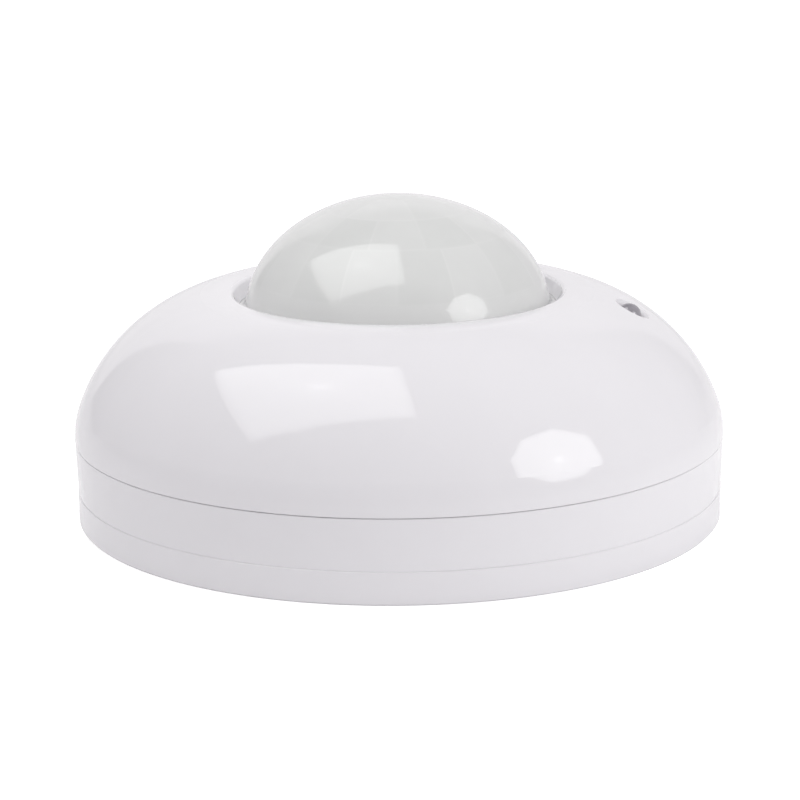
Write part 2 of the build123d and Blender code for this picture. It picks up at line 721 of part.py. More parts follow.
def film_capacitor():
    x, y = FILM_CENTRE
    length, width, height = FILM_SIZE
    case = block(x - length / 2, x + length / 2, y - width / 2, y + width / 2,
                 FILM_LOW, FILM_LOW + height)
    return fillet(case.edges().filter_by(Axis.Z), FILM_CORNER)


def film_capacitor_leads():
    x, y = FILM_CENTRE
    spots = (x - FILM_PIN_OFFSET, x + FILM_PIN_OFFSET)
    return group([pin(spot, y, PIN_TIP, FILM_LOW, LEAD_RADIUS) for spot in spots])


def electrolytic(x, y, radius, height, _):
    """A can with the rolled groove near its foot."""
    low = BOARD_HIGH + CAP_STAND_OFF
    can = rod(radius, low, low + height, x, y)
    return can - ring(radius + PAST, radius - CAP_GROOVE_DEPTH, low + CAP_GROOVE_LOW,
                      low + CAP_GROOVE_HIGH, x, y)


def electrolytic_leads():
    leads = []
    for x, y, _, _, offset in (MAIN_CAP,) + SMALL_CAPS:
        for spot in (x - offset, x + offset):
            leads.append(pin(spot, y, PIN_TIP, BOARD_HIGH + CAP_STAND_OFF, CAP_LEAD_RADIUS))
    return group(leads)


def varistor():
    disc = lying_rod(VARISTOR_RADIUS, VARISTOR_CENTRE, VARISTOR_THICKNESS / 2, 90)
    return fillet(disc.edges().filter_by(GeomType.CIRCLE), VARISTOR_EDGE)


def varistor_leads():
    x, y, z = VARISTOR_CENTRE
    disc = lying_rod(VARISTOR_RADIUS, VARISTOR_CENTRE, VARISTOR_THICKNESS / 2, 90)
    spots = (x - VARISTOR_PIN_OFFSET, x + VARISTOR_PIN_OFFSET)
    return group([pin(spot, y, PIN_TIP, z, LEAD_RADIUS) - disc for spot in spots])


def fuse_resistor():
    x, y, z, half_length, radius = FUSE
    body = lying_rod(radius, (x, y, z), half_length, 0)
    return fillet(body.edges().filter_by(GeomType.CIRCLE), FUSE_EDGE)


def rectifier_diodes():
    spots = [(x, DIODE_Y, DIODE_HEIGHT) for x in DIODE_X]
    return group([lying_rod(DIODE_RADIUS, spot, DIODE_HALF_LENGTH, 90) for spot in spots])


def bent_leads(centre, half_length, reach, turn):
    """The two leads of a lying part: straight out of its ends, then down through the board."""
    x, y, z = centre
    leads = []
    for side in (-1, 1):
        middle = side * (half_length + reach / 2)
        along = Rot(Z=turn) * Pos(middle, 0, 0)
        out = Pos(x, y, z) * along * Rot(Y=90) * Cylinder(LEAD_RADIUS, reach)
        way_x, way_y = polar(side * (half_length + reach), turn)
        down = pin(x + way_x, y + way_y, PIN_TIP, z, LEAD_RADIUS)
        leads.append(out + down + Pos(x + way_x, y + way_y, z) * Sphere(LEAD_RADIUS))
    return leads


def axial_leads():
    x, y, z, half_length, _ = FUSE
    leads = bent_leads((x, y, z), half_length, FUSE_LEAD_REACH, 0)
    for diode_x in DIODE_X:
        centre = (diode_x, DIODE_Y, DIODE_HEIGHT)
        leads += bent_leads(centre, DIODE_HALF_LENGTH, DIODE_LEAD_REACH, 90)
    return group(leads)


# ---------------------------------------------------------------- control parts on the board
CHIP_CENTRE = (22.0, 14.0)
CHIP_SIZE = (10.0, 4.0, 1.5)
CHIP_DIMPLE_RADIUS = 0.5
CHIP_DIMPLE_DEPTH = 0.15
CHIP_DIMPLE_X = 18.2
CHIP_LEGS_A_SIDE = 8
CHIP_LEG_PITCH = 1.27
CHIP_LEG_WIDTH = 0.4
CHIP_STAND_OFF = 0.15
CHIP_LEG_THICKNESS = 0.2
CHIP_LEG_KNEE = 0.6
CHIP_LEG_REACH = 1.4
CHIP_RESISTOR_X = (14.0, 18.0, 22.0, 26.0, 30.0)
CHIP_RESISTOR_Y = (7.0, 21.0)
CHIP_RESISTOR_SIZE = (2.0, 1.2, 0.5)
TRANSISTOR_CENTRE = (32.0, -17.0)
TRANSISTOR_LOW = 19.0
TRANSISTOR_HEIGHT = 4.6
TRANSISTOR_RADIUS = 2.4
TRANSISTOR_FLAT = 1.2
TRANSISTOR_PITCH = 1.27
LED_CENTRE = (12.0, -10.0)
LED_LOW = 22.0
LED_RADIUS = 1.5
LED_STRAIGHT = 3.4
LED_RIM = 0.25
LED_RIM_HEIGHT = 0.8
LED_LEAD_OFFSET = 0.9


def control_chip():
    x, y = CHIP_CENTRE
    length, width, height = CHIP_SIZE
    low = BOARD_HIGH + CHIP_STAND_OFF
    top = low + height
    body = block(x - length / 2, x + length / 2, y - width / 2, y + width / 2, low, top)
    return body - rod(CHIP_DIMPLE_RADIUS, top - CHIP_DIMPLE_DEPTH, top + PAST, CHIP_DIMPLE_X, y)


def chip_leg(x, y, side):
    """One gull-wing leg: out of the body, down, and a flat foot on the board."""
    width = CHIP_LEG_WIDTH / 2
    root = CHIP_SIZE[1] / 2
    knee = root + CHIP_LEG_KNEE
    tip = root + CHIP_LEG_REACH
    middle = BOARD_HIGH + CHIP_STAND_OFF + CHIP_SIZE[2] / 2
    thick = CHIP_LEG_THICKNESS
    outline = Polyline(
        (root, middle - thick / 2),
        (knee - thick, middle - thick / 2),
        (knee - thick, BOARD_HIGH),
        (tip, BOARD_HIGH),
        (tip, BOARD_HIGH + thick),
        (knee, BOARD_HIGH + thick),
        (knee, middle + thick / 2),
        (root, middle + thick / 2),
        close=True,
    )
    leg = extrude(Plane.YZ * make_face(outline), width, both=True)
    return Pos(x, y, 0) * Rot(Z=0 if side > 0 else 180) * leg


def chip_legs():
    x, y = CHIP_CENTRE
    first = -(CHIP_LEGS_A_SIDE - 1) / 2 * CHIP_LEG_PITCH
    legs = []
    for index in range(CHIP_LEGS_A_SIDE):
        for side in (-1, 1):
            legs.append(chip_leg(x + first + index * CHIP_LEG_PITCH, y, side))
    return group(legs)


def chip_resistors():
    height = CHIP_RESISTOR_SIZE[2]
    chips = []
    for x in CHIP_RESISTOR_X:
        for y in CHIP_RESISTOR_Y:
            chips.append(Pos(x, y, BOARD_HIGH + height / 2) * Box(*CHIP_RESISTOR_SIZE))
    return group(chips)


def regulator_transistor():
    x, y = TRANSISTOR_CENTRE
    top = TRANSISTOR_LOW + TRANSISTOR_HEIGHT
    body = rod(TRANSISTOR_RADIUS, TRANSISTOR_LOW, top, x, y)
    beyond = TRANSISTOR_RADIUS + PAST
    return body - block(x - beyond, x + beyond, y - beyond, y - TRANSISTOR_FLAT,
                        TRANSISTOR_LOW - PAST, top + PAST)


def transistor_legs():
    x, y = TRANSISTOR_CENTRE
    spots = (x - TRANSISTOR_PITCH, x, x + TRANSISTOR_PITCH)
    return group([pin(spot, y, PIN_TIP, TRANSISTOR_LOW, FINE_LEAD_RADIUS) for spot in spots])


def indicator_led():
    x, y = LED_CENTRE
    led = rod(LED_RADIUS, LED_LOW, LED_LOW + LED_STRAIGHT, x, y)
    led += Pos(x, y, LED_LOW + LED_STRAIGHT) * Sphere(LED_RADIUS)
    return led + rod(LED_RADIUS + LED_RIM, LED_LOW, LED_LOW + LED_RIM_HEIGHT, x, y)


def led_leads():
    x, y = LED_CENTRE
    spots = (x - LED_LEAD_OFFSET, x + LED_LEAD_OFFSET)
    return group([pin(spot, y, PIN_TIP, LED_LOW, THIN_LEAD_RADIUS) for spot in spots])


# ---------------------------------------------------------------- mains terminals
CAVITY_HALF_WIDTH = 3.1
CAVITY_FRONT = 25.6
CAVITY_BACK = 34.2
CAVITY_LOW = 4.9
ENTRY_HALF_WIDTH = 2.2
ENTRY_LOW = 9.5
ENTRY_HIGH = 12.3
SCREW_WAY_RADIUS = 2.1
TERMINAL_HEAD_FACE = 3.7
TERMINAL_HEAD_TOP = 4.8
TERMINAL_HEAD_RADIUS = 1.9
TERMINAL_SLOT_WIDTH = 0.6
TERMINAL_SLOT_DEPTH = 0.6
TERMINAL_SHANK_RADIUS = 1.25
TERMINAL_SHANK_TOP = 8.45
CLAMP_HALF_WIDTH = 2.9
CLAMP_WALL = 0.8
CLAMP_HALF_DEPTH = 2.5
CLAMP_NUT_LOW = 6.95
CLAMP_NUT_HIGH = 8.5
CLAMP_JAW_LOW = 12.4
CLAMP_JAW_HIGH = 13.4
BAR_LOW = 8.6
BAR_HIGH = 9.3
BAR_HALF_WIDTH = 1.9
BAR_FRONT = 25.8
BAR_BACK = 33.8
BAR_PIN_Y = 32.9
BAR_PIN_TOP = 17.2


def terminal_positions():
    return dict(zip(TERMINAL_NAMES, (-TERMINAL_PITCH, 0.0, TERMINAL_PITCH)))


def terminal_block():
    """The moulded body: three cavities, wire entries toward the centre, screws from below."""
    body = block(-TERMINAL_HALF_LENGTH, TERMINAL_HALF_LENGTH, TERMINAL_FRONT, TERMINAL_BACK,
                 TERMINAL_LOW, BOARD_LOW)
    for x in terminal_positions().values():
        body -= block(x - CAVITY_HALF_WIDTH, x + CAVITY_HALF_WIDTH, CAVITY_FRONT, CAVITY_BACK,
                      CAVITY_LOW, BOARD_LOW + PAST)
        body -= block(x - ENTRY_HALF_WIDTH, x + ENTRY_HALF_WIDTH, TERMINAL_FRONT - PAST,
                      CAVITY_FRONT + PAST, ENTRY_LOW, ENTRY_HIGH)
        body -= rod(SCREW_WAY_RADIUS, TERMINAL_LOW - PAST, CAVITY_LOW + PAST, x, TERMINAL_CENTRE)
    return body


def terminal_screw(x):
    """A slotted screw, turned from the back."""
    y = TERMINAL_CENTRE
    body = rod(TERMINAL_HEAD_RADIUS, TERMINAL_HEAD_FACE, TERMINAL_HEAD_TOP, x, y)
    body += rod(TERMINAL_SHANK_RADIUS, TERMINAL_HEAD_TOP, TERMINAL_SHANK_TOP, x, y)
    slot = Box(2 * TERMINAL_HEAD_RADIUS + PAST, TERMINAL_SLOT_WIDTH, 2 * TERMINAL_SLOT_DEPTH)
    return body - Pos(x, y, TERMINAL_HEAD_FACE) * slot


def terminal_clamp(x):
    """A cage around the bar. Its nut wall rides on the screw, its jaw pulls the wire to the bar."""
    y = TERMINAL_CENTRE
    cage = block(x - CLAMP_HALF_WIDTH, x + CLAMP_HALF_WIDTH, y - CLAMP_HALF_DEPTH,
                 y + CLAMP_HALF_DEPTH, CLAMP_NUT_LOW, CLAMP_JAW_HIGH)
    inside = CLAMP_HALF_WIDTH - CLAMP_WALL
    cage -= block(x - inside, x + inside, y - CLAMP_HALF_DEPTH - PAST,
                  y + CLAMP_HALF_DEPTH + PAST, CLAMP_NUT_HIGH, CLAMP_JAW_LOW)
    return cage - rod(TERMINAL_SHANK_RADIUS + NUT_GAP, CLAMP_NUT_LOW - PAST,
                      CLAMP_NUT_HIGH + PAST, x, y)


def terminal_bars():
    bars = []
    for x in terminal_positions().values():
        bar = block(x - BAR_HALF_WIDTH, x + BAR_HALF_WIDTH, BAR_FRONT, BAR_BACK, BAR_LOW, BAR_HIGH)
        bars.append(bar + pin(x, BAR_PIN_Y, BAR_LOW, BAR_PIN_TOP, STOUT_PIN_RADIUS))
    return group(bars)


# ---------------------------------------------------------------- setting knobs
KNOB_NEAR = 52.0
KNOB_FAR = 57.2
KNOB_SLOT_WIDTH = 0.8
KNOB_SLOT_DEPTH = 0.9
KNOB_SLOT_LENGTH = 3.8
KNOB_STEM_RADIUS = 1.2
KNOB_STEM_NEAR = 46.0
TRIMMER_NEAR = 43.5
TRIMMER_FAR = 50.8
TRIMMER_HALF_WIDTH = 3.4
TRIMMER_LOW = 8.9
TRIMMER_BORE_END = 45.5
TRIMMER_PIN_TOP = 17.0
TRIMMER_PIN_SPOTS = ((45.0, -2.5), (45.0, 2.5), (48.2, 0.0))


def knob(angle):
    """A flush knob with a blade slot, on the shaft of its trimmer."""
    body = radial_rod(KNOB_RADIUS, KNOB_NEAR, KNOB_FAR, 0)
    body += radial_rod(KNOB_STEM_RADIUS, KNOB_STEM_NEAR, KNOB_NEAR + ROOT, 0)
    slot = Box(2 * KNOB_SLOT_DEPTH, KNOB_SLOT_WIDTH, KNOB_SLOT_LENGTH)
    return Rot(Z=angle) * (body - Pos(KNOB_FAR, 0, KNOB_HEIGHT) * slot)


def trimmer(angle):
    body = block(TRIMMER_NEAR, TRIMMER_FAR, -TRIMMER_HALF_WIDTH, TRIMMER_HALF_WIDTH,
                 TRIMMER_LOW, BOARD_LOW)
    body -= radial_rod(KNOB_STEM_RADIUS + NUT_GAP, TRIMMER_BORE_END, TRIMMER_FAR + PAST, 0)
    return Rot(Z=angle) * body


def trimmer_pins():
    pins = []
    for angle in KNOB_ANGLES.values():
        for out, across in TRIMMER_PIN_SPOTS:
            spot = Vector(out, across).rotate(Axis.Z, angle)
            pins.append(pin(spot.X, spot.Y, BOARD_LOW, TRIMMER_PIN_TOP, LEAD_RADIUS))
    return group(pins)


# ---------------------------------------------------------------- circuit board
BOARD_NOTCH_GAP = 0.4


def board_hole(radius, x, y):
    return rod(radius, BOARD_LOW - PAST, BOARD_HIGH + PAST, x, y)


def circuit_board():
    """Made after every lead, because each lead has its hole."""
    board = rod(BOARD_RADIUS, BOARD_LOW, BOARD_HIGH)
    for angle in HOUSING_SCREW_ANGLES:
        board -= board_hole(HOUSING_BOSS_RADIUS + BOARD_NOTCH_GAP, *polar(HOUSING_SCREW_CIRCLE, angle))
    for angle in BOARD_SCREW_ANGLES:
        board -= board_hole(BOARD_SCREW_RADIUS + SCREW_CLEARANCE, *polar(BOARD_SCREW_CIRCLE, angle))
    return board - [board_hole(radius + PIN_HOLE_GAP, x, y) for x, y, radius in pin_holes]


# ---------------------------------------------------------------- write every node
nodes = {
    "mounting_base": mounting_base(),
    "cable_grommet": cable_grommet(),
    "rear_housing": rear_housing(),
    "front_cover": front_cover(),
    "light_guide": light_guide(),
    "lens_dome": lens_dome(),
    "lens_retainer": lens_retainer(),
    "retainer_screws": retainer_screws(),
    "housing_screws": housing_screws(),
    "board_screws": board_screws(),
    "pir_holder": pir_holder(),
    "pir_sensor_can": pir_sensor_can(),
    "pir_window": pir_window(),
    "pir_pins": pir_pins(),
    "light_sensor": light_sensor(),
    "light_sensor_sleeve": light_sensor_sleeve(),
    "light_sensor_leads": light_sensor_leads(),
    "relay_case": relay_case(),
    "relay_pins": relay_pins(),
    "film_capacitor": film_capacitor(),
    "film_capacitor_leads": film_capacitor_leads(),
    "main_electrolytic": electrolytic(*MAIN_CAP),
    "small_electrolytics": group([electrolytic(*sizes) for sizes in SMALL_CAPS]),
    "electrolytic_leads": electrolytic_leads(),
    "varistor": varistor(),
    "varistor_leads": varistor_leads(),
    "fuse_resistor": fuse_resistor(),
    "rectifier_diodes": rectifier_diodes(),
    "axial_leads": axial_leads(),
    "control_chip": control_chip(),
    "chip_legs": chip_legs(),
    "chip_resistors": chip_resistors(),
    "regulator_transistor": regulator_transistor(),
    "transistor_legs": transistor_legs(),
    "indicator_led": indicator_led(),
    "led_leads": led_leads(),
    "terminal_block": terminal_block(),
    "terminal_bars": terminal_bars(),
    "trimmer_pins": trimmer_pins(),
}
for pole, pole_x in terminal_positions().items():
    nodes[f"terminal_screw_{pole}"] = terminal_screw(pole_x)
    nodes[f"terminal_clamp_{pole}"] = terminal_clamp(pole_x)
for setting, setting_angle in KNOB_ANGLES.items():
    nodes[f"knob_{setting}"] = knob(setting_angle)
    nodes[f"trimmer_{setting}"] = trimmer(setting_angle)
nodes["circuit_board"] = circuit_board()

for node_name, node_shape in nodes.items():
    save(node_name, node_shape)
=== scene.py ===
import json
import math

import bmesh
import bpy
import numpy as np
from mathutils import Matrix, Vector

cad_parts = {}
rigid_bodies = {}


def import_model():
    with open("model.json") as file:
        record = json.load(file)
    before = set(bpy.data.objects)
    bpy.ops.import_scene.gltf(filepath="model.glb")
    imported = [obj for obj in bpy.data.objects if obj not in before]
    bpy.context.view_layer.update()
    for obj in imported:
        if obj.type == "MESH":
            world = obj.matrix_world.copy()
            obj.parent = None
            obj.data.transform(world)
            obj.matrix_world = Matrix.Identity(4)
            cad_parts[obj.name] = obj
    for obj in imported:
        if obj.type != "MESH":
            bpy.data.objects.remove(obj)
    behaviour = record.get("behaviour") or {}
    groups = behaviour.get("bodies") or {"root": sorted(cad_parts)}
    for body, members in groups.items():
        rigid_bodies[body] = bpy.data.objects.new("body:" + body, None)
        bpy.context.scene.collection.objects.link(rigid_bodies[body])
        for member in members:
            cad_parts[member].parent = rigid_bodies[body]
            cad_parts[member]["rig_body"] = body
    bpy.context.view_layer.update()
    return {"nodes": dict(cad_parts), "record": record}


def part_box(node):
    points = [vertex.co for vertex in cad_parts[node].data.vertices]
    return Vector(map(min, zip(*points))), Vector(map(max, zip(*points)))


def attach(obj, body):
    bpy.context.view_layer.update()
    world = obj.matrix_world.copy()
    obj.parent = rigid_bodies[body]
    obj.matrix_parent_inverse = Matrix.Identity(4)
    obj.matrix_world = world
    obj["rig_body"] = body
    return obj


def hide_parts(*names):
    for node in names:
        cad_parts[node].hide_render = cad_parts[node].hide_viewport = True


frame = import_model()

MM = 0.001
NODES = frame["nodes"]
SLOTS = {part["node"]: part["material_slot"] for part in frame["record"]["subparts"]}
MATERIALS = {}

# ---------------------------------------------------------------- sizes and places, metres

CAMERA_PLACE = (0.0, -0.4759, 0.1388)
CAMERA_TARGET = (0.0, 0.0, 0.020564)
CAMERA_LENS = 122.93
CAMERA_SHIFT = (0.001625, -0.005225)
CAMERA_ROLL = -0.586

# The floor is a ring: it stops just inside the base's foot, so the underside stays in sight.
FLOOR_RADIUS = 4.0
FLOOR_HOLE_RADIUS = 57.0 * MM
FLOOR_STEPS = 96
FLOOR_MOTTLE_SIZE = 0.4
FLOOR_DARK = (0.94, 0.94, 0.94)
FLOOR_LIGHT = (0.95, 0.95, 0.95)
# Light that the floor adds where the eye sees it, and where a glossy surface mirrors it.
FLOOR_GLOW = 0.5
FLOOR_GLINT = 0.22

ROOM_LEFT = (0.53, 0.518, 0.535)
ROOM_RIGHT = (0.82, 0.805, 0.825)
BACKDROP_WHITE = (0.90, 0.885, 0.90)
# The backdrop hides the room where all three hold: the direction's part along each normal lies
# past its edge, from the first value, where it starts, to the second, where it is full.
BACKDROP_LEFT_NORMAL = (0.848, 0.530, 0)
BACKDROP_LEFT_EDGE = (0.0, 0.01)
BACKDROP_RIGHT_NORMAL = (-0.866, 0.500, 0)
BACKDROP_RIGHT_EDGE = (0.0, 0.08)
BACKDROP_TOP_NORMAL = (0, 0, -1)
BACKDROP_TOP_EDGE = (-0.75, -0.5)

# Two glowing panels: a four-sided one above to the left, an eight-sided one in front to the right.
SOFTBOX_LEFT_CENTRE = (-0.071, -0.041, 0.2225)
SOFTBOX_LEFT_NORMAL = (0.553, 0.408, -0.726)
SOFTBOX_LEFT_ACROSS = (0.825, -0.148, 0.545)
SOFTBOX_LEFT_SIZE = (0.200, 0.188)
SOFTBOX_LEFT_STRENGTH = 2.1
SOFTBOX_RIGHT_CENTRE = (0.236, -0.170, 0.142)
SOFTBOX_RIGHT_NORMAL = (-0.77, 0.46, -0.45)
SOFTBOX_RIGHT_ACROSS = (0.0, 0.0, 1.0)
SOFTBOX_RIGHT_SIZE = (0.166, 0.166)
SOFTBOX_RIGHT_STRENGTH = 3.1

# Softbox rings as (share of the panel's size, brightness), from the lamp out to the rim.
PANEL_RINGS = ((0.05, 1.7), (0.12, 1.15), (0.45, 1.04), (0.88, 1.0), (1.0, 0.6))
GLINT = 1.22

# The lens dome: half an ellipsoid on a filleted foot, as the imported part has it.
LENS_LOW, LENS_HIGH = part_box("lens_dome")
LENS_LEVEL = 35.9 * MM
LENS_RISE = LENS_HIGH.z - LENS_LEVEL
LENS_RADIUS = 27.24 * MM
LENS_WALL = 0.9 * MM
LENS_FOOT_TOP = 38.5 * MM
LENS_SHELF = 37.5 * MM
LENS_SHELF_RADIUS = 28.2 * MM
LENS_FLANGE_RADIUS = LENS_HIGH.x
LENS_FLANGE_HIGH = 36.1 * MM
LENS_FLANGE_LOW = LENS_LOW.z
CROWN_ROWS = 170
FILLET_ROWS = 10
LENS_STEPS = 720
SHARP_FROM = math.radians(50)

# Segment tiers: rise angle from, to, count round the dome, turn of the first edge, tone.
LENS_TIERS = (
    (18.5, 45.0, 16, -90.0, 0.28),
    (45.0, 63.0, 12, -75.0, 0.16),
    (63.0, 82.0, 6, -75.0, 0.34),
    (82.0, 90.1, 1, 0.0, 0.26),
)
# Tones run from 0, LENS_DARK, to 1, LENS_LIGHT, and are cut off there.
# Painted light: the skirt's tone rises toward the lens's foot, lifting the shade that falls in the
# recess round it.
SKIRT_PAINTED_LIGHT_AT_FOOT = 1.2
SKIRT_PAINTED_LIGHT_AT_TOP = 0.4
CELL_TONE_STEP = 0.09
RIB_TONE = 0.20
RIB_HALF_WIDTH = 0.35 * MM
RIB_HEIGHT = 0.16 * MM
GROOVE_PITCH = 0.9 * MM
GROOVE_DEPTH = 0.10 * MM
NO_EDGE = 1.0
LENS_DARK = (0.73, 0.742, 0.725)
LENS_LIGHT = (0.83, 0.837, 0.825)


# ---------------------------------------------------------------- shader helpers

def new_material(name):
    """An empty material with an output and its principled shader."""
    material = bpy.data.materials.new(name)
    material.use_nodes = True
    tree = material.node_tree
    tree.nodes.clear()
    output = tree.nodes.new("ShaderNodeOutputMaterial")
    shader = tree.nodes.new("ShaderNodeBsdfPrincipled")
    tree.links.new(shader.outputs["BSDF"], output.inputs["Surface"])
    MATERIALS[name] = material
    return material, shader


def object_coordinates(tree):
    for node in tree.nodes:
        if node.bl_idname == "ShaderNodeTexCoord":
            return node.outputs["Object"]
    return tree.nodes.new("ShaderNodeTexCoord").outputs["Object"]


def noise(tree, size, detail=2.0, stretch=(1, 1, 1)):
    """Noise whose features are about `size` metres across, stretched along the axes."""
    mapping = tree.nodes.new("ShaderNodeMapping")
    mapping.inputs["Scale"].default_value = [s / size for s in stretch]
    tree.links.new(object_coordinates(tree), mapping.inputs["Vector"])
    texture = tree.nodes.new("ShaderNodeTexNoise")
    texture.inputs["Scale"].default_value = 1.0
    texture.inputs["Detail"].default_value = detail
    tree.links.new(mapping.outputs["Vector"], texture.inputs["Vector"])
    return texture.outputs["Fac"]


def spread(tree, value, low, high):
    """A 0..1 value remapped, from its usual middle range, to low..high."""
    node = tree.nodes.new("ShaderNodeMapRange")
    node.inputs["From Min"].default_value = 0.3
    node.inputs["From Max"].default_value = 0.7
    node.inputs["To Min"].default_value = low
    node.inputs["To Max"].default_value = high
    tree.links.new(value, node.inputs["Value"])
    return node.outputs["Result"]


def blend(tree, value, dark, light):
    """A colour between two colours, by a 0..1 value."""
    node = tree.nodes.new("ShaderNodeMix")
    node.data_type = "RGBA"
    node.inputs["A"].default_value = (*dark, 1)
    node.inputs["B"].default_value = (*light, 1)
    tree.links.new(value, node.inputs["Factor"])
    return node.outputs["Result"]


def scaled(tree, value, amount):
    """A value times a constant."""
    node = tree.nodes.new("ShaderNodeMath")
    node.operation = "MULTIPLY"
    tree.links.new(value, node.inputs[0])
    node.inputs[1].default_value = amount
    return node.outputs["Value"]


def shade(colour, amount):
    return tuple(min(1.0, channel * amount) for channel in colour)


def add_bump(tree, shader, height, depth):
    """Surface relief `depth` metres deep, on top of any relief already there."""
    bump = tree.nodes.new("ShaderNodeBump")
    bump.inputs["Strength"].default_value = 1.0
    bump.inputs["Distance"].default_value = depth
    tree.links.new(height, bump.inputs["Height"])
    normal = shader.inputs["Normal"]
    if normal.links:
        tree.links.new(normal.links[0].from_socket, bump.inputs["Normal"])
    tree.links.new(bump.outputs["Normal"], normal)


def plastic(name, colour, roughness, grain_size, grain_depth, mottle=0.02, ripple_depth=0.0):
    """Moulded plastic: faint flow mottling, uneven gloss, fine mould grain and slow ripples."""
    material, shader = new_material(name)
    tree = material.node_tree
    flow = spread(tree, noise(tree, 9 * MM, 3.0), 0.0, 1.0)
    colours = blend(tree, flow, shade(colour, 1 - mottle), shade(colour, 1 + mottle))
    tree.links.new(colours, shader.inputs["Base Color"])
    gloss = spread(tree, noise(tree, 3 * MM, 4.0), roughness * 0.8, roughness * 1.2)
    tree.links.new(gloss, shader.inputs["Roughness"])
    if ripple_depth:
        add_bump(tree, shader, noise(tree, 7 * MM, 1.0), ripple_depth)
    add_bump(tree, shader, noise(tree, grain_size, 3.0), grain_depth)
    return material, shader


def metal(name, colour, roughness, grain_size, grain_depth, stretch=(1, 1, 1), dulling=0.12):
    """Plated or drawn metal: fine directional grain and duller patches."""
    material, shader = new_material(name)
    tree = material.node_tree
    shader.inputs["Metallic"].default_value = 1.0
    patches = spread(tree, noise(tree, 2.5 * MM, 4.0), 0.0, 1.0)
    colours = blend(tree, patches, shade(colour, 1 - dulling), colour)
    tree.links.new(colours, shader.inputs["Base Color"])
    gloss = spread(tree, noise(tree, 0.8 * MM, 3.0, stretch), roughness * 0.7, roughness * 1.4)
    tree.links.new(gloss, shader.inputs["Roughness"])
    add_bump(tree, shader, noise(tree, grain_size, 2.0, stretch), grain_depth)
    return material, shader


# ---------------------------------------------------------------- materials by record slot

def cover_white():
    _, shader = plastic(
        "cover_white", (0.85, 0.84, 0.86), 0.03, 0.25 * MM, 0.0002 * MM,
        mottle=0.004, ripple_depth=0.003 * MM)
    shader.inputs["IOR"].default_value = 1.5


def housing_white():
    plastic("housing_white", (0.85, 0.84, 0.86), 0.16, 0.18 * MM, 0.0035 * MM, mottle=0.006)


def lens_milky():
    """Milky polyethylene: a scattering body, partly see-through, under a smooth moulded skin.

    The mesh carries "tone", how light each spot of the segmented wall is drawn; on the skirt below
    the segments it is painted light, lighter toward the foot against the shade of the recess.
    """
    material, shader = new_material("lens_milky")
    tree = material.node_tree
    tone = tree.nodes.new("ShaderNodeAttribute")
    tone.attribute_name = "tone"
    pattern = blend(tree, tone.outputs["Fac"], LENS_DARK, LENS_LIGHT)
    cloud = tree.nodes.new("ShaderNodeMix")
    cloud.data_type = "RGBA"
    cloud.blend_type = "MULTIPLY"
    cloud.inputs["Factor"].default_value = 1.0
    clouding = spread(tree, noise(tree, 8 * MM, 3.0), 0.0, 1.0)
    tree.links.new(pattern, cloud.inputs["A"])
    tree.links.new(blend(tree, clouding, (0.97, 0.97, 0.97), (1, 1, 1)), cloud.inputs["B"])
    tree.links.new(cloud.outputs["Result"], shader.inputs["Base Color"])
    shader.inputs["Roughness"].default_value = 0.30
    shader.inputs["IOR"].default_value = 1.5
    shader.inputs["Specular IOR Level"].default_value = 0.1
    shader.inputs["Transmission Weight"].default_value = 0.22
    shader.inputs["Coat Weight"].default_value = 1.0
    shader.inputs["Coat Roughness"].default_value = 0.02
    add_bump(tree, shader, noise(tree, 0.2 * MM, 2.0), 0.0004 * MM)
    let_light_through(tree, shader)


def let_light_through(tree, shader):
    """Lighting rays pass straight through the material; sight does not."""
    rays = tree.nodes.new("ShaderNodeLightPath")
    lighting = tree.nodes.new("ShaderNodeMath")
    lighting.operation = "MAXIMUM"
    tree.links.new(rays.outputs["Is Shadow Ray"], lighting.inputs[0])
    tree.links.new(rays.outputs["Is Diffuse Ray"], lighting.inputs[1])
    mix_with_clear(tree, shader, lighting.outputs["Value"])


def mix_with_clear(tree, shader, share):
    """Rays pass straight through a share, 0 to 1, of a finished material."""
    mix = tree.nodes.new("ShaderNodeMixShader")
    tree.links.new(share, mix.inputs["Fac"])
    output = shader.outputs["BSDF"].links[0].to_socket
    clear = tree.nodes.new("ShaderNodeBsdfTransparent")
    tree.links.new(shader.outputs["BSDF"], mix.inputs[1])
    tree.links.new(clear.outputs["BSDF"], mix.inputs[2])
    tree.links.new(mix.outputs["Shader"], output)


def guide_smoke():
    material, shader = new_material("guide_smoke")
    tree = material.node_tree
    tint = spread(tree, noise(tree, 1.5 * MM, 2.0), 0.0, 1.0)
    colours = blend(tree, tint, (0.34, 0.32, 0.36), (0.40, 0.38, 0.42))
    tree.links.new(colours, shader.inputs["Base Color"])
    shader.inputs["Roughness"].default_value = 0.08
    shader.inputs["Transmission Weight"].default_value = 0.3
    shader.inputs["Coat Weight"].default_value = 1.0
    shader.inputs["Coat Roughness"].default_value = 0.02
    shader.inputs["Coat IOR"].default_value = 1.7
    add_bump(tree, shader, noise(tree, 0.3 * MM, 2.0), 0.0006 * MM)


def pir_filter():
    material, shader = new_material("pir_filter")
    tree = material.node_tree
    sheen = spread(tree, noise(tree, 1.2 * MM, 3.0), 0.0, 1.0)
    colours = blend(tree, sheen, (0.035, 0.03, 0.045), (0.06, 0.05, 0.07))
    tree.links.new(colours, shader.inputs["Base Color"])
    shader.inputs["Roughness"].default_value = 0.1
    shader.inputs["Coat Weight"].default_value = 0.6
    add_bump(tree, shader, noise(tree, 0.25 * MM, 2.0), 0.0006 * MM)


def board_green():
    """Solder mask over faintly visible woven glass."""
    material, shader = plastic("board_green", (0.03, 0.20, 0.07), 0.3, 0.2 * MM, 0.003 * MM)
    tree = material.node_tree
    weave = noise(tree, 0.5 * MM, 1.0, (4, 0.6, 1))
    add_bump(tree, shader, weave, 0.004 * MM)


